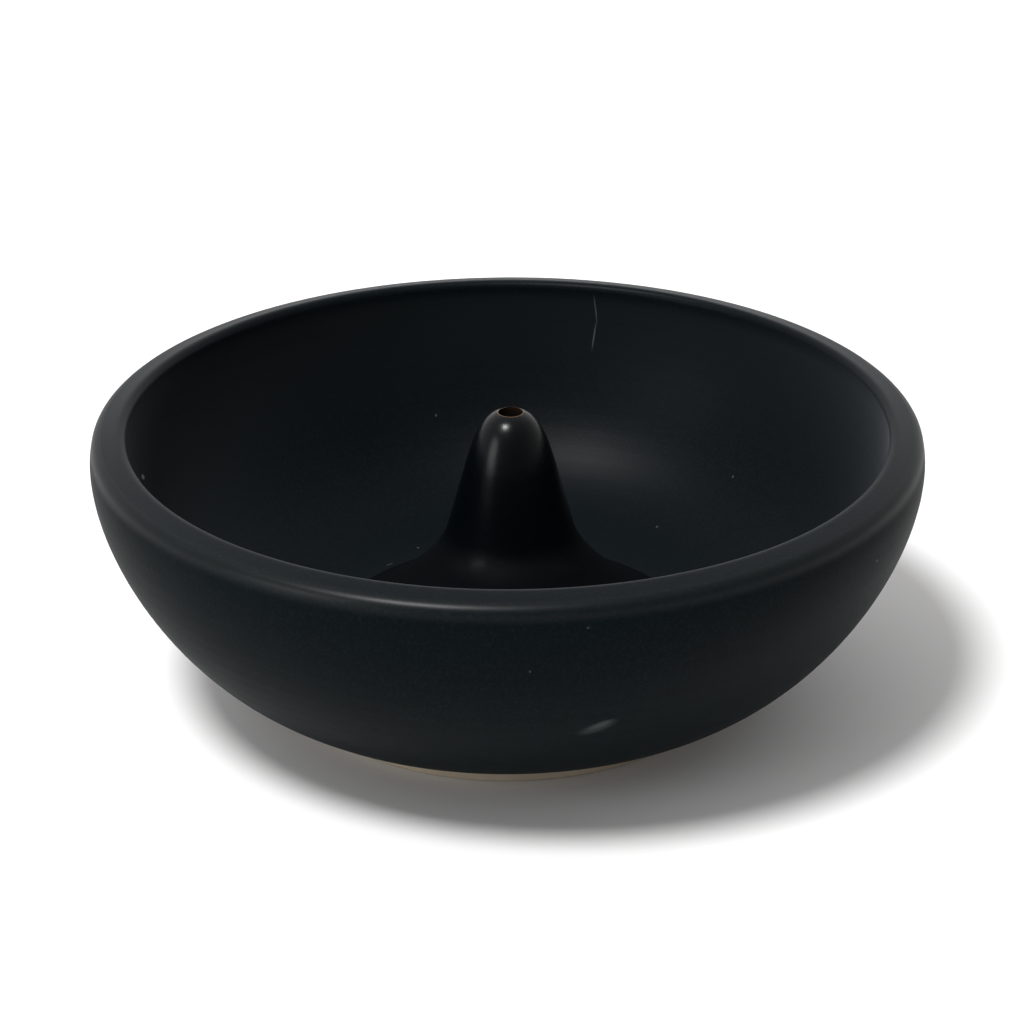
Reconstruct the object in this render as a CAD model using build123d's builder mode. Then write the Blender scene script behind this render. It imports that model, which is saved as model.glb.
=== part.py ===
"""A round stoneware incense burner: a low glazed bowl with a stick cone in its middle.

The bowl is one thrown and trimmed piece of clay. The cone is a second piece, set on the
bowl's floor and held by a coil of clay that is blended into a skirt around it. Three coats of
glaze cover the clay: one over the cone and its skirt, one inside the bowl and over the lip,
and one outside. The foot and the stick hole stay bare.

Millimetres. +Z is up, and the origin is on the table under the middle of the foot.
"""

import os
from math import atan2, cos, degrees, radians, sin, tan

from build123d import *

# ---- The bowl's clay ---------------------------------------------------------------------
bowl_radius = 56.6          # widest circle of the wall
lip_height = 39.5           # top of the lip over the table
belly_drop = 4.0            # from there down to the widest circle
lip_fall = 0.48             # how far the lip's top drops towards the outside
lip_setback = 1.3           # from the widest circle in to the lip's outer corner
lip_width = 2.1             # flat top of the lip
brim_round = 0.75           # rounding of the lip's inner edge
shoulder_rise = 2.5         # nearly upright band over the widest circle
shoulder_setback = 0.3

foot_radius = 29.9
foot_rise = 3.05            # bare height of the foot, up to where the wall starts
foot_round = 0.5
foot_width = 4.6            # the ring that stands on the table
foot_recess = 2.2           # depth of the hollow inside the ring
wall_start_slope = 11.0     # slope of the wall where it leaves the foot, in degrees
wall_foot_pull = 16.3       # how far the wall keeps that slope
wall_belly_pull = 10.35     # how far it stays upright under the widest circle

floor_thickness = 6.8
floor_margin = 0.75         # flat floor left around the seam of the two inner coats
inside_heel_radius = 44.5
inside_brim_pull = 14.0

# ---- The cone and the coil that holds it -------------------------------------------------
cone_shift = 0.45           # the cone stands a little off the bowl's centre
cone_height = 32.0          # over the bowl's floor
cone_base_radius = 12.45
cone_tip_radius = 3.77      # where its straight side would meet its top
cone_dome_drop = 8.0        # from its top down to where its side turns in
cone_side_pull = 7.0        # how far the dome keeps the side's slope
cone_crown_pull = 3.0       # how far it stays level around the tip
stick_hole_radius = 1.7
stick_hole_depth = 24.0

skirt_rise = 15.0           # the skirt's top edge over the floor
skirt_radius = 24.0         # its lower edge on the floor
skirt_edge_slope = 12.0
skirt_top_pull = 6.5        # how far it keeps the cone's slope
skirt_edge_pull = 2.5       # how far it keeps its edge's slope

# ---- Glaze -------------------------------------------------------------------------------
glaze_thickness = 0.4
coat_seam_gap = 0.3         # from the skirt's edge out to the seam with the floor's coat

# ---- Derived -----------------------------------------------------------------------------
belly_height = lip_height - belly_drop
floor_height = foot_recess + floor_thickness
lip_outer_radius = bowl_radius - lip_setback
lip_inner_radius = lip_outer_radius - lip_width
cone_top = floor_height + cone_height
cone_dome_foot = cone_top - cone_dome_drop
cone_taper = degrees(atan2(cone_base_radius - cone_tip_radius, cone_height))
skirt_top = floor_height + skirt_rise
coat_seam_radius = skirt_radius + coat_seam_gap
floor_radius = coat_seam_radius + cone_shift + floor_margin

bowl_plane = Plane.XZ
cone_plane = Plane(origin=(cone_shift, 0, 0), x_dir=(1, 0, 0), z_dir=(0, -1, 0))
cone_axis = Axis((cone_shift, 0, 0), (0, 0, 1))


def toward(slope, length):
    """A step of this length, at this slope up from level, in degrees."""
    return Vector(length * cos(radians(slope)), length * sin(radians(slope)))


def on_skin(radius, height, facing, skin):
    """A point of the clay, moved out by the skin's thickness the way its surface faces."""
    return Vector(radius, height) + toward(facing, skin)


def flank_radius(height):
    """Radius of the cone's clay side at this height."""
    return cone_base_radius - (height - floor_height) * tan(radians(cone_taper))


def outer_wall(skin):
    """Draw the wall's outside, from the foot to the lip's outer corner, and give its ends."""
    start = on_skin(foot_radius, foot_rise, wall_start_slope - 90, skin)
    belly = on_skin(bowl_radius, belly_height, 0, skin)
    shoulder = on_skin(
        bowl_radius - shoulder_setback, belly_height + shoulder_rise, 14, skin
    )
    corner = on_skin(lip_outer_radius, lip_height - lip_fall, 77.5, skin)
    Bezier(
        start,
        start + toward(wall_start_slope, wall_foot_pull),
        belly - Vector(0, wall_belly_pull),
        belly,
    )
    upright = TangentArc(belly, shoulder, tangent=(0, 1))
    TangentArc(shoulder, corner, tangent=upright % 1)
    return start, corner


def inner_wall(skin):
    """Draw the lip's top, the bowl's inside and its floor, and give the two ends."""
    corner = on_skin(lip_outer_radius, lip_height - lip_fall, 77.5, skin)
    crest = on_skin(lip_inner_radius, lip_height, 90, skin)
    brim = on_skin(lip_inner_radius - brim_round, lip_height - brim_round, 180, skin)
    floor_edge = Vector(floor_radius, floor_height + skin)
    middle = Vector(0, floor_height + skin)
    top = Line(corner, crest)
    TangentArc(crest, brim, tangent=top % 1)
    Bezier(
        brim,
        brim - Vector(0, inside_brim_pull),
        Vector(inside_heel_radius, floor_height + skin),
        floor_edge,
    )
    Line(floor_edge, middle)
    return corner, middle


def skirt_side(skin):
    """Draw the skirt's outside, from the cone down to the floor, and give its two ends."""
    top = on_skin(flank_radius(skirt_top), skirt_top, cone_taper, skin)
    edge = Vector(skirt_radius, floor_height)
    if skin > 0:
        edge = Vector(coat_seam_radius, floor_height + skin)
    Bezier(
        top,
        top + toward(cone_taper - 90, skirt_top_pull),
        edge - toward(-skirt_edge_slope, skirt_edge_pull),
        edge,
    )
    return top, edge


def cone_side(skin):
    """Draw the cone's dome and side, from its top to the skirt, and give its two ends."""
    tip = Vector(0, cone_top + skin)
    turn = on_skin(flank_radius(cone_dome_foot), cone_dome_foot, cone_taper, skin)
    foot = on_skin(flank_radius(skirt_top), skirt_top, cone_taper, skin)
    Bezier(
        tip,
        tip + Vector(cone_crown_pull, 0),
        turn + toward(90 + cone_taper, cone_side_pull),
        turn,
    )
    Line(turn, foot)
    return tip, foot


# ---- Clay --------------------------------------------------------------------------------
with BuildPart() as bowl_body:
    with BuildSketch(bowl_plane):
        with BuildLine():
            wall_start, corner = outer_wall(0)
            lip_corner, middle = inner_wall(0)
            hollow = Vector(0, foot_recess)
            Polyline(
                middle,
                hollow,
                (foot_radius - foot_width, foot_recess),
                (foot_radius - foot_width, 0),
                (foot_radius, 0),
                wall_start,
            )
        make_face()
    revolve()
    table_edges = bowl_body.edges().group_by(Axis.Z)[0]
    fillet(table_edges, foot_round)
    recess_edge = (
        bowl_body.edges().filter_by(GeomType.CIRCLE).filter_by_position(
            Axis.Z, foot_recess - 0.01, foot_recess + 0.01
        )
    )
    fillet(recess_edge.sort_by(SortBy.RADIUS)[0], foot_round)

with BuildPart() as stick_cone:
    with BuildSketch(cone_plane):
        with BuildLine():
            tip, flank = cone_side(0)
            Polyline(flank, (cone_base_radius, floor_height), (0, floor_height), tip)
        make_face()
    revolve(axis=cone_axis)
    with Locations((cone_shift, 0, cone_top)):
        Hole(stick_hole_radius, depth=stick_hole_depth)

with BuildPart() as cone_coil:
    with BuildSketch(cone_plane):
        with BuildLine():
            top, edge = skirt_side(0)
            Polyline(edge, (cone_base_radius, floor_height), top)
        make_face()
    revolve(axis=cone_axis)

# ---- Glaze -------------------------------------------------------------------------------
with BuildPart() as cone_glaze:
    with BuildSketch(cone_plane):
        with BuildLine():
            clay_tip, _ = cone_side(0)
            _, clay_edge = skirt_side(0)
            glaze_tip, _ = cone_side(glaze_thickness)
            _, glaze_edge = skirt_side(glaze_thickness)
            Line(clay_tip, glaze_tip)
            Polyline(clay_edge, (coat_seam_radius, floor_height), glaze_edge)
        make_face()
    revolve(axis=cone_axis)
    with Locations((cone_shift, 0, cone_top + glaze_thickness)):
        Hole(stick_hole_radius, depth=3 * glaze_thickness)

with BuildPart() as inside_glaze:
    with BuildSketch(bowl_plane):
        with BuildLine():
            clay_corner, clay_middle = inner_wall(0)
            glaze_corner, glaze_middle = inner_wall(glaze_thickness)
            Line(clay_corner, glaze_corner)
            Line(clay_middle, glaze_middle)
        make_face()
    revolve()
    with BuildSketch(Plane.XY.offset(floor_height)):
        with Locations((cone_shift, 0)):
            Circle(coat_seam_radius)
    extrude(amount=glaze_thickness, mode=Mode.SUBTRACT)

with BuildPart() as outside_glaze:
    with BuildSketch(bowl_plane):
        with BuildLine():
            clay_start, clay_corner = outer_wall(0)
            glaze_start, glaze_corner = outer_wall(glaze_thickness)
            Line(clay_start, glaze_start)
            Line(clay_corner, glaze_corner)
        make_face()
    revolve()

# ---- Write -------------------------------------------------------------------------------
os.makedirs("parts", exist_ok=True)
pieces = {
    "bowl_body": bowl_body,
    "stick_cone": stick_cone,
    "cone_coil": cone_coil,
    "cone_glaze": cone_glaze,
    "inside_glaze": inside_glaze,
    "outside_glaze": outside_glaze,
}
for name, piece in pieces.items():
    piece.part.label = name
    export_step(piece.part, f"parts/{name}.step")
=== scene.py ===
"""The looks of a glazed stoneware incense burner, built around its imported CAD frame.

The file is laid out as an add-on and is run as a script: main() registers the classes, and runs
each operator in turn.
"""

import math

import bmesh
import bpy
from bpy.props import FloatProperty, FloatVectorProperty, IntProperty, PointerProperty
from mathutils import Matrix, Vector, noise
from mathutils.geometry import interpolate_bezier


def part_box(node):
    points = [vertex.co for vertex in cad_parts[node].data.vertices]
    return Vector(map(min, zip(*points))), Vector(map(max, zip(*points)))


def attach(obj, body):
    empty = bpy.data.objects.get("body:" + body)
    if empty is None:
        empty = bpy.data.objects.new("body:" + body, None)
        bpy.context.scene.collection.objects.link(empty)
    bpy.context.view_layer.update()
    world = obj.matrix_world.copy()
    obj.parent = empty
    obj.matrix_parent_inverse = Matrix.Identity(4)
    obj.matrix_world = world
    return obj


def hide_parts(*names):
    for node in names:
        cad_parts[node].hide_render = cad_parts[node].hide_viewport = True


bl_info = {
    "name": "Incense Burner",
    "version": (1, 0, 0),
    "blender": (4, 5, 0),
    "location": "View3D > Sidebar > Incense Burner",
    "description": "Builds a glazed stoneware incense burner, its clay and its studio stage",
    "category": "Object",
}

MM = 0.001
BODY = "root"
FINE = 0.35 * MM            # mesh step along a surface that shows
COARSE = 1.2 * MM           # mesh step along a surface that is covered
CREASE = math.radians(40)   # faces that meet more sharply than this show an edge
PALE = (0.2, 0.22, 0.22, 1.0)       # dust, scuffs and scratches in the black glaze
SOOT = (0.002, 0.001, 0.001, 1.0)   # what burnt sticks leave in the hole
BURNT = (0.004, 0.002, 0.001, 1.0)  # the glaze's edge inside the hole
COOL = (0.85, 0.93, 1.0, 1.0)       # the bloom on the satin coat
WHITE = (1.0, 1.0, 1.0, 1.0)
DAYLIGHT = (1.0, 0.985, 0.98, 1.0)

# The stage, in metres
FLOOR_REACH = 6
BACKDROP_RADIUS = 5         # within the reach of a camera that stands close to a small object
BRIGHTER = (-0.15, 0.7, -0.15)      # the side of the room that is lighter
KEY_PLACE = Vector((-0.296, -0.317, 0.901))
WINDOW_PLACE = Vector((-0.80, -0.55, 0.30))
WINDOW_WIDTH, WINDOW_HEIGHT = 0.36, 0.45
CAMERA_PLACE = Vector((0.0, -460.2, 238.25)) * MM
CAMERA_AIM = Vector((0.63, 0.0, 26.1)) * MM
CAMERA_ROLL = math.radians(-0.09)

# Pale marks: bearing in degrees; radius, height, half width and half height in millimetres;
# strength; then, where needed, slant in degrees and half depth in millimetres.
OUTSIDE_MARKS = (
    (-77.3, 51.4, 19.0, 3.6, 1.4, 0.1, 28),         # scuff near the foot
    (-76.8, 51.6, 19.6, 2.2, 0.7, 0.1, 28),         # its denser middle
    (-32.3, 56.8, 33.0, 0.25, 0.25, 0.3),
    (-87.2, 56.2, 30.2, 0.2, 0.3, 0.15),
    (-80.0, 56.9, 36.2, 0.3, 0.15, 0.15),
    (-166, 56.7, 38.0, 0.2, 0.2, 0.3),
)
INSIDE_MARKS = (
    (75.2, 51.8, 36.3, 0.15, 2.9, 0.2, -8),         # scratch under the lip, upper half
    (75.3, 51.3, 32.3, 0.16, 2.9, 0.25, 6),         # its lower half
    (174.6, 50.9, 29.4, 0.9, 0.5, 1.0, 25),         # flake
    (133, 25.0, 9.4, 0.8, 2.0, 0.2, 0, 0.14),       # line on the floor
    (42.6, 45.0, 17.7, 0.2, 0.2, 0.25),
    (51.4, 35.2, 11.0, 0.25, 0.3, 0.2, 0, 0.3),
    (103.1, 47.4, 20.9, 0.25, 0.25, 0.2),
    (118.8, 27.1, 9.4, 0.25, 2.0, 0.25, 0, 0.25),
)

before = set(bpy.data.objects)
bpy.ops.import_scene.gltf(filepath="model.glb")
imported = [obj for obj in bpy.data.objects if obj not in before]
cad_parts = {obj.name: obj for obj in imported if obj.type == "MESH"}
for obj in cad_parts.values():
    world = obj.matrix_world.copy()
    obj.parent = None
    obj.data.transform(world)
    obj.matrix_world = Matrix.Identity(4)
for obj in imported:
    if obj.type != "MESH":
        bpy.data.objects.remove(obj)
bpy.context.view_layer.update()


# ---- Sizes read from the frame -----------------------------------------------------------
def node_middle(node):
    """The middle of a CAD node's box."""
    low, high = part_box(node)
    return (low + high) / 2


def node_reach(node):
    """Half a CAD node's width."""
    low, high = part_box(node)
    return (high.x - low.x) / 2


CONE_SHIFT = node_middle("stick_cone").x
CLAY_RADIUS = node_reach("bowl_body")
SKIN = node_reach("outside_glaze") - CLAY_RADIUS
LIP_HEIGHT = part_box("inside_glaze")[1].z - SKIN
FLOOR_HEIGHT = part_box("inside_glaze")[0].z
SKIRT_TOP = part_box("cone_coil")[1].z
SEAM_RADIUS = node_reach("cone_glaze")
CONE_BASE_RADIUS = node_reach("stick_cone")


# ---- What a user would change ------------------------------------------------------------
def length(name, description, millimetres):
    """A size given in millimetres and kept in metres."""
    return FloatProperty(
        name=name,
        description=description,
        default=millimetres * MM,
        unit="LENGTH",
        precision=5,
    )


def colour(name, description, red, green, blue):
    """A colour, in linear light."""
    return FloatVectorProperty(
        name=name,
        description=description,
        default=(red, green, blue),
        subtype="COLOR",
        min=0.0,
        max=1.0,
    )


class BurnerShape(bpy.types.PropertyGroup):
    """The sizes of the clay that the frame's boxes don't give."""

    foot_radius: length("Foot radius", "Outside of the foot ring", 29.9)
    foot_rise: length("Foot rise", "Height of the foot, up to where the wall starts", 3.05)
    foot_width: length("Foot width", "Width of the ring that stands on the table", 4.6)
    foot_recess: length("Foot recess", "Depth of the hollow inside the foot ring", 2.2)
    foot_round: length("Foot rounding", "Rounding of the foot ring's edges", 0.5)
    belly_drop: length("Belly drop", "From the lip's top down to the widest circle", 4.0)
    lip_fall: length("Lip fall", "How far the lip's top drops towards the outside", 0.48)
    lip_setback: length("Lip setback", "From the widest circle in to the lip's corner", 1.3)
    lip_width: length("Lip width", "Flat top of the lip", 2.1)
    brim_round: length("Brim rounding", "Rounding of the lip's inner edge", 0.75)
    floor_radius: length("Floor radius", "Flat middle of the floor", 25.5)
    cone_height: length("Cone height", "From the floor to the cone's top", 32.0)
    cone_tip_radius: length("Cone tip radius", "Where the side would meet the top", 3.77)
    cone_dome: length("Cone dome", "From the top down to where the side turns in", 8.0)
    hole_radius: length("Stick hole radius", "Radius of the stick hole", 1.7)
    hole_depth: length("Stick hole depth", "Depth of the stick hole", 24.0)


class BurnerHand(bpy.types.PropertyGroup):
    """The marks of throwing and dipping by hand."""

    turns: IntProperty(name="Turns", description="Faces around the bowl", default=256, min=64)
    wobble: length("Wobble", "How far the bowl is out of round", 0.11)
    waver: length("Lip waver", "How far the lip rises and falls", 0.1)
    ring_depth: length("Ring depth", "Depth of the throwing rings", 0.008)
    ring_pitch: length("Ring pitch", "From one throwing ring to the next", 2.6)


class BurnerFinish(bpy.types.PropertyGroup):
    """The colours of the glazes and the clay."""

    outside: colour("Outside glaze", "Matte black with a cool cast", 0.0016, 0.0034, 0.0040)
    inside: colour("Inside glaze", "Satin black with a cool cast", 0.0010, 0.0026, 0.0034)
    # Painted light: a lighter colour laid on the upper inner wall, a painted sheen standing in
    # for the light that falls there.
    lip: colour("Lip glaze", "Where the inside glaze is thinner", 0.0060, 0.0082, 0.0092)
    cone: colour("Cone glaze", "Glossier black", 0.0006, 0.0014, 0.0020)
    clay: colour("Clay", "Bare fired stoneware", 0.50, 0.43, 0.33)
    rust: colour("Glaze edge", "Where the glaze is thin over the clay", 0.16, 0.085, 0.04)


class BurnerStage(bpy.types.PropertyGroup):
    """The floor, the lights and the camera."""

    key: FloatProperty(name="Key", description="Strength of the overhead light", default=3.1)
    key_spread: FloatProperty(
        name="Key spread",
        description="How wide the overhead light looks",
        default=math.radians(15),
        subtype="ANGLE",
    )
    window: FloatProperty(name="Window", description="Light from the left, in watts", default=2.2)
    room: FloatProperty(name="Room", description="Light from all round", default=0.7)
    lens: FloatProperty(
        name="Lens", description="Focal length of the camera", default=128.8, unit="CAMERA"
    )


# ---- Sections ----------------------------------------------------------------------------
def toward(slope, reach):
    """A step of this length in a section, at this slope up from level, in degrees."""
    angle = math.radians(slope)
    return Vector((math.cos(angle) * reach, math.sin(angle) * reach))


def on_skin(radius, height, facing, skin):
    """A point of the clay, moved out by the skin's thickness the way its surface faces."""
    return Vector((radius, height)) + toward(facing, skin)


def straight(start, end, step):
    """Points along a line."""
    count = max(1, round((end - start).length / step))
    return [start.lerp(end, i / count) for i in range(count + 1)]


def bent(start, pull, push, end, step):
    """Points along a cubic curve."""
    rough = interpolate_bezier(start, pull, push, end, 24)
    run = sum((b - a).length for a, b in zip(rough, rough[1:]))
    return interpolate_bezier(start, pull, push, end, max(3, round(run / step) + 1))


def swept(centre, radius, start, end, step):
    """Points along an arc about a centre, between two slopes in degrees."""
    count = max(4, round(abs(math.radians(end - start)) * radius / step))
    return [centre + toward(start + (end - start) * i / count, radius) for i in range(count + 1)]


def leaving(start, slope, end, step):
    """Points along the arc that leaves a point at a slope and reaches another, and the slope
    at which it arrives."""
    chord = end - start
    heading = math.degrees(math.atan2(chord.y, chord.x))
    turn = (heading - slope + 180) % 360 - 180
    radius = chord.length / 2 / math.sin(math.radians(turn))
    centre = start + toward(slope + 90, radius)
    side = -90 if radius > 0 else 90
    points = swept(centre, abs(radius), slope + side, slope + side + 2 * turn, step)
    return points, slope + 2 * turn


def joined(*runs):
    """One outline from several runs, without the points that they share."""
    outline = []
    for run in runs:
        for point in run:
            here = Vector(point[:2])
            if not outline or (outline[-1] - here).length > 1e-7:
                outline.append(here)
    return outline


def outer_wall(shape, skin, step):
    """The outside of the wall, from the foot up to the lip's outer corner."""
    start_slope, foot_pull, belly_pull = 11.0, 16.3 * MM, 10.35 * MM
    shoulder_rise, shoulder_setback = 2.5 * MM, 0.3 * MM
    belly_height = LIP_HEIGHT - shape.belly_drop
    start = on_skin(shape.foot_radius, shape.foot_rise, start_slope - 90, skin)
    belly = on_skin(CLAY_RADIUS, belly_height, 0, skin)
    shoulder = on_skin(CLAY_RADIUS - shoulder_setback, belly_height + shoulder_rise, 14, skin)
    corner = on_skin(CLAY_RADIUS - shape.lip_setback, LIP_HEIGHT - shape.lip_fall, 77.5, skin)
    wall = bent(
        start,
        start + toward(start_slope, foot_pull),
        belly - Vector((0, belly_pull)),
        belly,
        step,
    )
    upright, slope = leaving(belly, 90, shoulder, step)
    rolled, _ = leaving(shoulder, slope, corner, step)
    return joined(wall, upright, rolled)


def inner_wall(shape, skin, end_radius, step):
    """The lip's top, the inside of the bowl and the floor, in to a radius."""
    heel_radius, brim_pull = 44.5 * MM, 14.0 * MM
    lip_radius = CLAY_RADIUS - shape.lip_setback
    corner = on_skin(lip_radius, LIP_HEIGHT - shape.lip_fall, 77.5, skin)
    crest = on_skin(lip_radius - shape.lip_width, LIP_HEIGHT, 90, skin)
    brim = on_skin(
        lip_radius - shape.lip_width - shape.brim_round, LIP_HEIGHT - shape.brim_round, 180, skin
    )
    floor_edge = Vector((shape.floor_radius, FLOOR_HEIGHT + skin))
    fall = crest - corner
    rolled, _ = leaving(crest, math.degrees(math.atan2(fall.y, fall.x)), brim, step)
    wall = bent(
        brim,
        brim - Vector((0, brim_pull)),
        Vector((heel_radius, FLOOR_HEIGHT + skin)),
        floor_edge,
        step,
    )
    end = Vector((end_radius, FLOOR_HEIGHT + skin))
    return joined(straight(corner, crest, step), rolled, wall, straight(floor_edge, end, step))


def cone_taper(shape):
    """How far the cone's side leans from upright, in degrees."""
    return math.degrees(math.atan2(CONE_BASE_RADIUS - shape.cone_tip_radius, shape.cone_height))


def flank_radius(shape, height):
    """Radius of the cone's clay side at this height."""
    fall = (height - FLOOR_HEIGHT) / shape.cone_height
    return CONE_BASE_RADIUS + (shape.cone_tip_radius - CONE_BASE_RADIUS) * fall


def cone_side(shape, skin, mouth_radius, end_height, step):
    """The cone's dome from its mouth, and its side down to a height."""
    crown_pull, side_pull = 3.0 * MM, 7.0 * MM
    taper = cone_taper(shape)
    top = FLOOR_HEIGHT + shape.cone_height
    tip = Vector((0, top + skin))
    foot = top - shape.cone_dome
    turn = on_skin(flank_radius(shape, foot), foot, taper, skin)
    pull = turn + toward(90 + taper, side_pull)
    dome = bent(tip, tip + Vector((crown_pull, 0)), pull, turn, step / 3)
    inner = max(i for i, point in enumerate(dome) if point.x < mouth_radius)
    a, b = dome[inner], dome[inner + 1]
    mouth = a.lerp(b, (mouth_radius - a.x) / (b.x - a.x))
    end = on_skin(flank_radius(shape, end_height), end_height, taper, skin)
    return joined([mouth], dome[inner + 1 :], straight(turn, end, step))


def skirt_side(shape, skin, step):
    """The blended coil, from the cone's side down to the seam on the floor."""
    edge_slope, top_pull, edge_pull = 12.0, 6.5 * MM, 2.5 * MM
    taper = cone_taper(shape)
    top = on_skin(flank_radius(shape, SKIRT_TOP), SKIRT_TOP, taper, skin)
    edge = Vector((SEAM_RADIUS, FLOOR_HEIGHT + skin))
    return bent(
        top,
        top + toward(taper - 90, top_pull),
        edge - toward(-edge_slope, edge_pull),
        edge,
        step,
    )


# ---- Turning a section into a piece ------------------------------------------------------
def hand_warp(point, hand):
    """Where the whole bowl's slight unevenness moves a point."""
    angle = math.atan2(point.y, point.x)
    radius = math.hypot(point.x, point.y)
    spread = min(1.0, radius / CLAY_RADIUS) ** 2 * min(1.0, point.z / LIP_HEIGHT)
    swells = 0.6 * math.cos(2 * angle + 0.7) + 0.4 * math.cos(3 * angle - 1.1)
    out = hand.wobble * spread * swells
    rise = min(1.0, max(0.0, point.z / LIP_HEIGHT - 0.45) / 0.55) ** 2
    rise *= min(1.0, radius / CLAY_RADIUS) ** 4
    lobes = math.sin(angle) + 0.6 * math.sin(2 * angle) + 0.3 * math.cos(3 * angle - 2.36)
    up = hand.waver * rise * lobes
    return Vector((math.cos(angle) * out, math.sin(angle) * out, up))


def turned(name, outline, hand, shown=0, loop=True, shift=0.0, rings=1.0):
    """Spin an outline about the bowl's or the cone's axis into a closed piece.

    The first `shown` points are the side that is seen: only they take the throwing rings.
    """
    mesh = bmesh.new()
    seen = mesh.verts.layers.float.new("seen")
    path = mesh.verts.layers.float.new("path")
    run, corners = 0.0, []
    for i, point in enumerate(outline):
        corner = mesh.verts.new((shift + point.x, 0.0, point.y))
        run += (point - outline[i - 1]).length if i else 0.0
        corner[seen] = 1.0 if i < shown else 0.0
        corner[path] = run
        corners.append(corner)
    pairs = list(zip(corners, corners[1:]))
    if loop:
        pairs.append((corners[-1], corners[0]))
    edges = [mesh.edges.new(pair) for pair in pairs]
    bmesh.ops.spin(
        mesh,
        geom=corners + edges,
        cent=(shift, 0, 0),
        axis=(0, 0, 1),
        angle=math.tau,
        steps=hand.turns,
        use_merge=True,
    )
    bmesh.ops.remove_doubles(mesh, verts=mesh.verts, dist=1e-7)
    bmesh.ops.recalc_face_normals(mesh, faces=mesh.faces)
    mesh.normal_update()
    moves = {}
    for v in mesh.verts:
        angle = math.atan2(v.co.y, v.co.x - shift)
        wave = math.sin(math.tau * v[path] / hand.ring_pitch + angle)
        rough = noise.noise((v.co.x * 60, v.co.y * 60, v.co.z * 220))
        moves[v] = hand_warp(v.co, hand) + v.normal * (
            v[seen] * rings * hand.ring_depth * (0.5 * wave + 0.9 * rough)
        )
    for v, move in moves.items():
        v.co += move
    data = bpy.data.meshes.new(name)
    mesh.to_mesh(data)
    mesh.free()
    data.shade_smooth()
    data.set_sharp_from_angle(angle=CREASE)
    piece = bpy.data.objects.new(name, data)
    bpy.context.scene.collection.objects.link(piece)
    return piece


def stand_in(piece, node, material):
    """Finish a piece, let it ride with the burner, and let it stand for its CAD node."""
    piece.data.materials.append(material)
    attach(piece, BODY)
    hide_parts(node)


# ---- Shader arithmetic -------------------------------------------------------------------
class Wire:
    """A shader socket that can be used in sums."""

    def __init__(self, bench, socket):
        self.bench = bench
        self.socket = socket

    def __add__(self, other):
        return self.bench.maths("ADD", self, other)

    __radd__ = __add__

    def __sub__(self, other):
        return self.bench.maths("SUBTRACT", self, other)

    def __rsub__(self, other):
        return self.bench.maths("SUBTRACT", other, self)

    def __mul__(self, other):
        return self.bench.maths("MULTIPLY", self, other)

    __rmul__ = __mul__

    def __truediv__(self, other):
        return self.bench.maths("DIVIDE", self, other)

    def __rtruediv__(self, other):
        return self.bench.maths("DIVIDE", other, self)


class Bench:
    """Builds the nodes of one material or of the world."""

    def __init__(self, material):
        self.material = material
        self.tree = material.node_tree
        self.tree.nodes.clear()

    def node(self, kind, settings=None, sockets=None, output=0):
        """Add a node, set it up, feed its sockets and give one output."""
        made = self.tree.nodes.new(kind)
        for key, value in (settings or {}).items():
            setattr(made, key, value)
        for key, value in (sockets or {}).items():
            if isinstance(value, Wire):
                self.tree.links.new(value.socket, made.inputs[key])
            else:
                made.inputs[key].default_value = value
        return Wire(self, made.outputs[output]) if made.outputs else None

    def maths(self, operation, *values):
        """A Math node."""
        return self.node("ShaderNodeMath", {"operation": operation}, dict(enumerate(values)))

    def mix(self, share, first, second):
        """A mix of two colours."""
        settings = {"data_type": "RGBA"}
        sockets = {0: share, 6: first, 7: second}
        return self.node("ShaderNodeMix", settings, sockets, output=2)

    def within(self, value, low, high):
        """0 below low, 1 above high, smooth between them."""
        settings = {"interpolation_type": "SMOOTHSTEP"}
        return self.node("ShaderNodeMapRange", settings, {0: value, 1: low, 2: high})

    def place(self):
        """Where a point of the piece is, in metres."""
        return self.node("ShaderNodeTexCoord", output=3)

    def stretched(self, place, scale):
        """The place, scaled along its axes."""
        return self.node("ShaderNodeMapping", None, {"Vector": place, "Scale": scale})

    def cloud(self, place, scale, detail=2.0, roughness=0.5):
        """Soft noise from 0 to 1."""
        sockets = {"Vector": place, "Scale": scale, "Detail": detail, "Roughness": roughness}
        return self.node("ShaderNodeTexNoise", None, sockets)

    def marked(self, body, place, angle, radius, height, wide, tall, strength, tilt=0, deep=2.0):
        """The body colour with a pale mark: where it lies, its half sizes in mm, its slant."""
        turn = math.radians(angle)
        sockets = {
            "Vector": place,
            "Location": Vector((radius * math.cos(turn), radius * math.sin(turn), height)) * MM,
            "Rotation": (math.radians(tilt), 0, turn),
            "Scale": Vector((deep, wide, tall)) * MM,
        }
        local = self.node("ShaderNodeMapping", {"vector_type": "TEXTURE"}, sockets)
        away = self.node("ShaderNodeVectorMath", {"operation": "LENGTH"}, {0: local}, output=1)
        spot = 1 - self.within(away, 0.35, 1.0)
        return self.mix(spot * strength, body, PALE)

    def finish(self, base, roughness, bump, depth, **surface):
        """The surface shader, with its relief, as the material's output."""
        relief = self.node(
            "ShaderNodeBump", None, {"Height": bump, "Strength": 1.0, "Distance": depth}
        )
        sockets = {"Base Color": base, "Roughness": roughness, "Normal": relief, **surface}
        shader = self.node("ShaderNodeBsdfPrincipled", None, sockets)
        self.node("ShaderNodeOutputMaterial", None, {"Surface": shader})
        return self.material


def new_bench(name):
    """A bench for a new material."""
    material = bpy.data.materials.new(name)
    material.use_nodes = True
    return Bench(material)


def rgba(shade, gain=1.0):
    """A colour with its alpha."""
    return (shade[0] * gain, shade[1] * gain, shade[2] * gain, 1.0)


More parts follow.
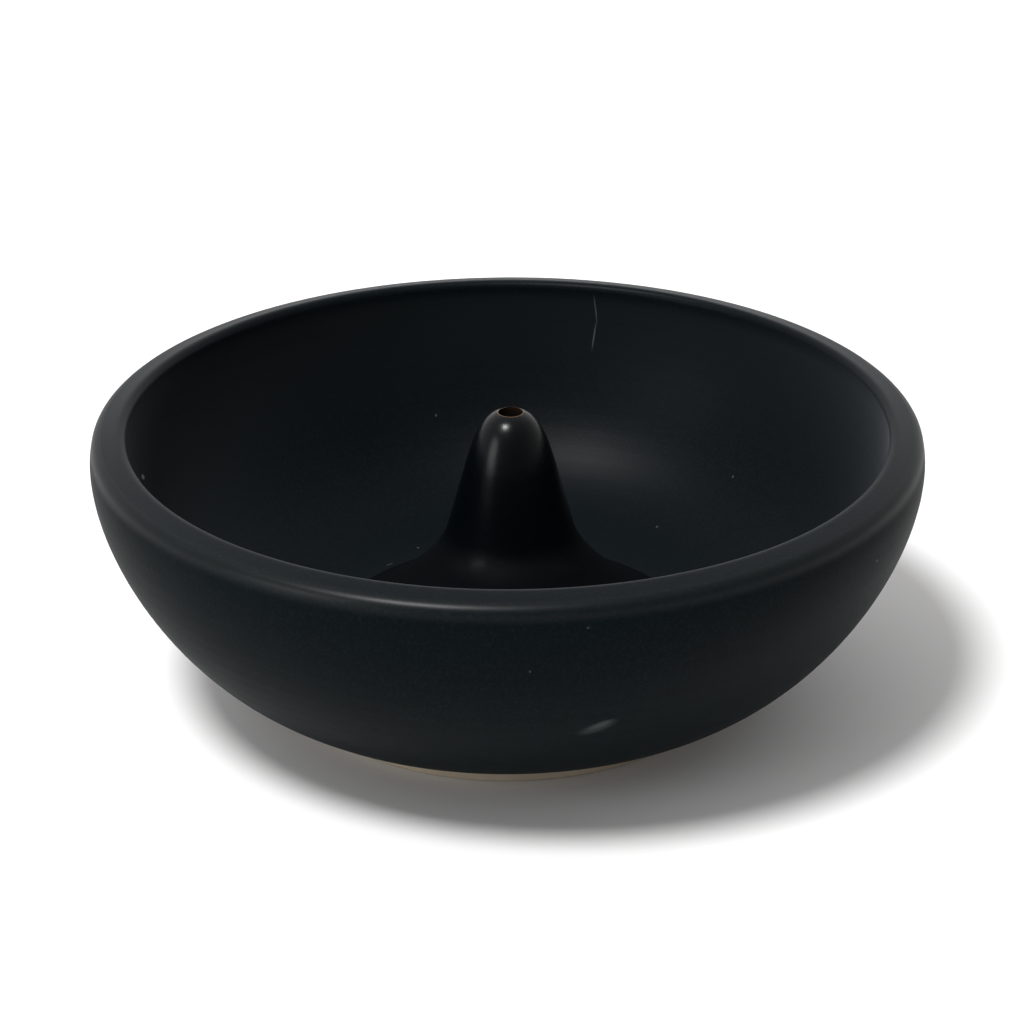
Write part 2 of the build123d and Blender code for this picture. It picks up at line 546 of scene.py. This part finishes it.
def specks(bench, place, scale, share, size):
    """1 on a few small round spots, 0 elsewhere."""
    sockets = {"Vector": place, "Scale": scale, "Randomness": 1.0}
    distance = bench.node("ShaderNodeTexVoronoi", {"feature": "F1"}, sockets)
    cell = bench.node("ShaderNodeTexVoronoi", {"feature": "F1"}, sockets, output=1)
    pick = bench.node("ShaderNodeSeparateColor", None, {0: cell})
    chosen = bench.maths("GREATER_THAN", pick, 1 - share)
    return chosen * (1 - bench.within(distance, size * 0.6, size))


def clay_material(finish):
    """Bare fired stoneware: buff, gritty and flecked with iron, smoked dark in the hole."""
    bench = new_bench("bare_stoneware")
    place = bench.place()
    tone = bench.cloud(place, 90, 3)
    grit = bench.cloud(place, 1500, 3, 0.7)
    turning = bench.cloud(bench.stretched(place, (60, 60, 1400)), 1.0, 2)
    flecks = specks(bench, place, 420, 0.22, 0.16)
    body = bench.mix(tone, rgba(finish.clay, 0.82), rgba(finish.clay, 1.12))
    body = bench.mix(flecks * 0.8, body, rgba(finish.rust, 0.7))
    height = bench.node("ShaderNodeSeparateXYZ", None, {0: place}, output=2)
    raised = bench.within(height, FLOOR_HEIGHT, FLOOR_HEIGHT + 1 * MM)
    body = bench.mix(raised, body, rgba(finish.rust))
    body = bench.mix(raised * 0.98, body, SOOT)
    roughness = 0.78 + grit * 0.16
    surface = {"Specular IOR Level": 0.1}
    return bench.finish(body, roughness, grit * 0.6 + turning * 0.4, 0.09 * MM, **surface)


def outside_glaze_material(finish):
    """The dipped outer coat: matte black that breaks to rust at the foot."""
    bench = new_bench("outside_matte_glaze")
    place = bench.place()
    tone = bench.cloud(place, 45, 3)
    turning = bench.cloud(bench.stretched(place, (30, 30, 900)), 1.0, 3, 0.6)
    peel = bench.cloud(place, 2400, 3, 0.6)
    body = bench.mix(tone, rgba(finish.outside, 0.8), rgba(finish.outside, 1.25))
    body = bench.mix(bench.within(peel, 0.45, 0.75), body, rgba(finish.outside, 2.2))
    height = bench.node("ShaderNodeSeparateXYZ", None, {0: place}, output=2)
    foot = bpy.context.scene.burner_shape.foot_rise
    edge = 1 - bench.within(height + (tone - 0.5) * 0.5 * MM, foot - 0.3 * MM, foot + 0.4 * MM)
    body = bench.mix(edge, body, rgba(finish.rust))
    for mark in OUTSIDE_MARKS:
        body = bench.marked(body, place, *mark)
    roughness = 0.47 + tone * 0.05 + turning * 0.03
    lip = bench.within(height, LIP_HEIGHT - 2.8 * MM, LIP_HEIGHT - 1.0 * MM)
    return bench.finish(
        body,
        roughness,
        peel * 0.85 + turning * 0.15,
        0.03 * MM,
        **{
            "Specular IOR Level": 0.03,
            "Coat Weight": 0.28 * lip,
            "Coat Roughness": 0.36,
        },
    )


def inside_glaze_material(finish):
    """The poured inner coat: satin black, with the faint lines of the wheel and a painted sheen
    on its upper wall.
    """
    bench = new_bench("inside_satin_glaze")
    place = bench.place()
    tone = bench.cloud(place, 40, 3)
    turning = bench.cloud(bench.stretched(place, (25, 25, 1100)), 1.0, 3, 0.6)
    peel = bench.cloud(place, 2400, 3, 0.6)
    body = bench.mix(tone, rgba(finish.inside, 0.8), rgba(finish.inside, 1.25))
    body = bench.mix(bench.within(peel, 0.45, 0.75), body, rgba(finish.inside, 2.2))
    height = bench.node("ShaderNodeSeparateXYZ", None, {0: place}, output=2)
    # Painted light: the colour is lifted towards the lip colour on the upper inner wall as a
    # painted sheen, for the light that falls there, and fades back off just under the lip's top.
    thin = bench.within(height, FLOOR_HEIGHT + 8 * MM, LIP_HEIGHT - 2 * MM)
    thin = thin * (1 - 0.95 * bench.within(height, LIP_HEIGHT - 2.5 * MM, LIP_HEIGHT - 0.5 * MM))
    body = bench.mix(thin * (0.8 + tone * 0.4), body, rgba(finish.lip))
    dust = specks(bench, place, 260, 0.06, 0.06)
    body = bench.mix(dust * 0.25, body, PALE)
    for mark in INSIDE_MARKS:
        body = bench.marked(body, place, *mark)
    roughness = 0.38 + tone * 0.06 + turning * 0.06
    return bench.finish(
        body,
        roughness,
        peel * 0.7 + turning * 0.3,
        0.03 * MM,
        **{
            "Specular IOR Level": 0.06,
            "Sheen Weight": 0.08,
            "Sheen Roughness": 0.45,
            "Sheen Tint": COOL,
        },
    )


def cone_glaze_material(finish):
    """The coat over the cone, thicker and glossier."""
    bench = new_bench("cone_gloss_glaze")
    place = bench.place()
    tone = bench.cloud(place, 120, 2)
    peel = bench.cloud(place, 700, 3, 0.6)
    body = bench.mix(tone, rgba(finish.cone, 0.8), rgba(finish.cone, 1.25))
    offset = bench.node(
        "ShaderNodeVectorMath", {"operation": "SUBTRACT"}, {0: place, 1: (CONE_SHIFT, 0, 0)}
    )
    flat = bench.node(
        "ShaderNodeVectorMath", {"operation": "MULTIPLY"}, {0: offset, 1: (1, 1, 0)}
    )
    out = bench.node("ShaderNodeVectorMath", {"operation": "LENGTH"}, {0: flat}, output=1)
    hole = bpy.context.scene.burner_shape.hole_radius
    edge = 1 - bench.within(out + tone * 0.1 * MM, hole + 0.08 * MM, hole + 0.2 * MM)
    body = bench.mix(edge, body, rgba(finish.rust, 1.3))
    bore = 1 - bench.within(out, hole + 0.01 * MM, hole + 0.08 * MM)
    body = bench.mix(bore * 0.95, body, BURNT)
    skirt = bench.within(out, CONE_BASE_RADIUS - 5 * MM, CONE_BASE_RADIUS - 1 * MM)
    roughness = 0.22 + tone * 0.08 + skirt * 0.6
    return bench.finish(
        body,
        roughness,
        peel,
        0.06 * MM,
        **{
            "Specular IOR Level": 0.06,
            "Coat Weight": 0.26 * (1 - skirt),
            "Coat Roughness": 0.24,
        },
    )


# ---- Operators ---------------------------------------------------------------------------
class BURNER_OT_bowl_clay(bpy.types.Operator):
    """Turn the bowl's clay: foot ring, wall, lip and floor"""

    bl_idname = "burner.bowl_clay"
    bl_label = "Bowl clay"

    def execute(self, context):
        shape, hand = context.scene.burner_shape, context.scene.burner_hand
        edge = shape.foot_round
        outer = outer_wall(shape, 0, COARSE)
        roof = shape.foot_recess
        inside = shape.foot_radius - shape.foot_width
        outside = shape.foot_radius
        under = joined(
            straight(Vector((0, roof)), Vector((inside - edge, roof)), FINE * 2),
            swept(Vector((inside - edge, roof - edge)), edge, 90, 0, FINE / 4),
            straight(Vector((inside, roof - edge)), Vector((inside, edge)), FINE),
            swept(Vector((inside + edge, edge)), edge, 180, 270, FINE / 4),
            straight(Vector((inside + edge, 0)), Vector((outside - edge, 0)), FINE),
            swept(Vector((outside - edge, edge)), edge, -90, 0, FINE / 4),
            straight(Vector((outside, edge)), outer[0], FINE),
        )
        section = joined(under, outer, inner_wall(shape, 0, 0, COARSE))
        piece = turned("clay_bowl", section, hand, loop=False)
        material = clay_material(context.scene.burner_finish)
        stand_in(piece, "bowl_body", material)
        return {"FINISHED"}


class BURNER_OT_cone_clay(bpy.types.Operator):
    """Turn the cone's clay and its stick hole, and give the coil around it its clay"""

    bl_idname = "burner.cone_clay"
    bl_label = "Cone clay"

    def execute(self, context):
        shape, hand = context.scene.burner_shape, context.scene.burner_hand
        material = clay_material(context.scene.burner_finish)
        bottom = FLOOR_HEIGHT + shape.cone_height - shape.hole_depth
        dome = cone_side(shape, 0, shape.hole_radius, FLOOR_HEIGHT, FINE)
        section = joined(
            straight(Vector((0, bottom)), Vector((shape.hole_radius, bottom)), FINE),
            straight(Vector((shape.hole_radius, bottom)), dome[0], FINE),
            dome,
            straight(dome[-1], Vector((0, FLOOR_HEIGHT)), COARSE),
        )
        piece = turned("clay_cone", section, hand, loop=False, shift=CONE_SHIFT)
        stand_in(piece, "stick_cone", material)
        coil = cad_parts["cone_coil"]
        coil.data.materials.clear()
        coil.data.materials.append(material)
        return {"FINISHED"}


class BURNER_OT_cone_glaze(bpy.types.Operator):
    """Coat the cone and its skirt, up to the mouth of the stick hole"""

    bl_idname = "burner.cone_glaze"
    bl_label = "Cone glaze"

    def execute(self, context):
        shape, hand = context.scene.burner_shape, context.scene.burner_hand
        mouth = shape.hole_radius
        outside = joined(
            cone_side(shape, SKIN, mouth, SKIRT_TOP, FINE), skirt_side(shape, SKIN, FINE)
        )
        inside = joined(
            cone_side(shape, 0, mouth, SKIRT_TOP, COARSE), skirt_side(shape, 0, COARSE)
        )
        section = joined(outside, reversed(inside))
        piece = turned("glaze_cone", section, hand, len(outside), shift=CONE_SHIFT, rings=0.2)
        material = cone_glaze_material(context.scene.burner_finish)
        stand_in(piece, "cone_glaze", material)
        return {"FINISHED"}


class BURNER_OT_inside_glaze(bpy.types.Operator):
    """Coat the floor, the inner wall and the lip"""

    bl_idname = "burner.inside_glaze"
    bl_label = "Inside glaze"

    def execute(self, context):
        shape, hand = context.scene.burner_shape, context.scene.burner_hand
        outside = inner_wall(shape, SKIN, SEAM_RADIUS, FINE)
        inside = inner_wall(shape, 0, SEAM_RADIUS, COARSE)
        section = joined(outside, reversed(inside))
        piece = turned("glaze_inside", section, hand, shown=len(outside))
        for v in piece.data.vertices:
            out = (math.hypot(v.co.x, v.co.y) - SEAM_RADIUS) / (shape.floor_radius - SEAM_RADIUS)
            v.co.x += CONE_SHIFT * (1 - min(1.0, max(0.0, out)))
        material = inside_glaze_material(context.scene.burner_finish)
        stand_in(piece, "inside_glaze", material)
        return {"FINISHED"}


class BURNER_OT_outside_glaze(bpy.types.Operator):
    """Coat the outer wall, from the lip's corner down to the foot line"""

    bl_idname = "burner.outside_glaze"
    bl_label = "Outside glaze"

    def execute(self, context):
        shape, hand = context.scene.burner_shape, context.scene.burner_hand
        outside = outer_wall(shape, SKIN, FINE)
        inside = outer_wall(shape, 0, COARSE)
        section = joined(outside, reversed(inside))
        piece = turned("glaze_outside", section, hand, shown=len(outside))
        material = outside_glaze_material(context.scene.burner_finish)
        stand_in(piece, "outside_glaze", material)
        return {"FINISHED"}


class BURNER_OT_stage(bpy.types.Operator):
    """Set the floor, the backdrop, the lights and the camera"""

    bl_idname = "burner.stage"
    bl_label = "Stage"

    def execute(self, context):
        look = context.scene.burner_stage
        self.floor()
        self.backdrop()
        self.lights(look)
        self.camera(look)
        context.scene.view_settings.view_transform = "Standard"
        return {"FINISHED"}

    def shell(self, name, mesh, material):
        """A stage object from a bmesh."""
        data = bpy.data.meshes.new(name)
        mesh.to_mesh(data)
        mesh.free()
        data.materials.append(material)
        made = bpy.data.objects.new(name, data)
        bpy.context.scene.collection.objects.link(made)
        return made

    def floor(self):
        bench = new_bench("studio_floor")
        shader = bench.node(
            "ShaderNodeBsdfDiffuse", None, {"Color": (0.86, 0.86, 0.86, 1.0)}
        )
        bench.node("ShaderNodeOutputMaterial", None, {"Surface": shader})
        mesh = bmesh.new()
        bmesh.ops.create_grid(mesh, x_segments=2, y_segments=2, size=FLOOR_REACH)
        self.shell("studio_floor", mesh, bench.material)

    def backdrop(self):
        bench = new_bench("studio_backdrop")
        shader = bench.node("ShaderNodeEmission", None, {"Color": WHITE})
        bench.node("ShaderNodeOutputMaterial", None, {"Surface": shader})
        mesh = bmesh.new()
        bmesh.ops.create_uvsphere(mesh, u_segments=64, v_segments=32, radius=BACKDROP_RADIUS)
        dome = self.shell("studio_backdrop", mesh, bench.material)
        dome.visible_diffuse = False
        dome.visible_glossy = False
        dome.visible_transmission = False
        dome.visible_shadow = False

    def lights(self, look):
        world = bpy.data.worlds.new("studio_room")
        world.use_nodes = True
        room = Bench(world)
        way = room.node("ShaderNodeTexCoord")
        slant = {0: way, 1: BRIGHTER}
        bright = room.node("ShaderNodeVectorMath", {"operation": "DOT_PRODUCT"}, slant, 1)
        daylight = {"Color": DAYLIGHT, "Strength": look.room * (1 + bright)}
        shade = room.node("ShaderNodeBackground", None, daylight)
        room.node("ShaderNodeOutputWorld", None, {"Surface": shade})
        bpy.context.scene.world = world
        key = bpy.data.lights.new("overhead_softbox", "SUN")
        key.energy = look.key
        key.angle = look.key_spread
        self.put(key, KEY_PLACE)
        window = bpy.data.lights.new("window_left", "AREA")
        window.shape = "RECTANGLE"
        window.size, window.size_y = WINDOW_WIDTH, WINDOW_HEIGHT
        window.energy = look.window
        self.put(window, WINDOW_PLACE)

    def put(self, light, place):
        """Hang a light here, aimed at the middle of the floor."""
        made = bpy.data.objects.new(light.name, light)
        turn = place.to_track_quat("Z", "Y").to_matrix().to_4x4()
        made.matrix_world = Matrix.Translation(place) @ turn
        bpy.context.scene.collection.objects.link(made)

    def camera(self, look):
        data = bpy.data.cameras.new("camera")
        data.lens = look.lens
        data.sensor_width = 36
        data.clip_end = 100
        made = bpy.data.objects.new("camera", data)
        turn = (CAMERA_AIM - CAMERA_PLACE).to_track_quat("-Z", "Y").to_matrix().to_4x4()
        roll = Matrix.Rotation(CAMERA_ROLL, 4, "Z")
        made.matrix_world = Matrix.Translation(CAMERA_PLACE) @ turn @ roll
        bpy.context.scene.collection.objects.link(made)
        bpy.context.scene.camera = made


class BURNER_PT_panel(bpy.types.Panel):
    """The burner's pieces and sizes"""

    bl_idname = "BURNER_PT_panel"
    bl_label = "Incense Burner"
    bl_space_type = "VIEW_3D"
    bl_region_type = "UI"
    bl_category = "Incense Burner"

    def draw(self, context):
        for group in GROUPS:
            box = self.layout.box()
            settings = getattr(context.scene, group)
            for key in settings.bl_rna.properties.keys():
                if key not in ("rna_type", "name"):
                    box.prop(settings, key)
        for operator in OPERATORS:
            self.layout.operator(operator.bl_idname)


GROUPS = {
    "burner_shape": BurnerShape,
    "burner_hand": BurnerHand,
    "burner_finish": BurnerFinish,
    "burner_stage": BurnerStage,
}
OPERATORS = (
    BURNER_OT_bowl_clay,
    BURNER_OT_cone_clay,
    BURNER_OT_cone_glaze,
    BURNER_OT_inside_glaze,
    BURNER_OT_outside_glaze,
    BURNER_OT_stage,
)


def register():
    for name, group in GROUPS.items():
        bpy.utils.register_class(group)
        setattr(bpy.types.Scene, name, PointerProperty(type=group))
    for operator in OPERATORS:
        bpy.utils.register_class(operator)
    bpy.utils.register_class(BURNER_PT_panel)


def unregister():
    bpy.utils.unregister_class(BURNER_PT_panel)
    for operator in reversed(OPERATORS):
        bpy.utils.unregister_class(operator)
    for name, group in reversed(GROUPS.items()):
        delattr(bpy.types.Scene, name)
        bpy.utils.unregister_class(group)


def main():
    register()
    bpy.ops.burner.bowl_clay()
    bpy.ops.burner.cone_clay()
    bpy.ops.burner.cone_glaze()
    bpy.ops.burner.inside_glaze()
    bpy.ops.burner.outside_glaze()
    bpy.ops.burner.stage()


if __name__ == "__main__":
    main()
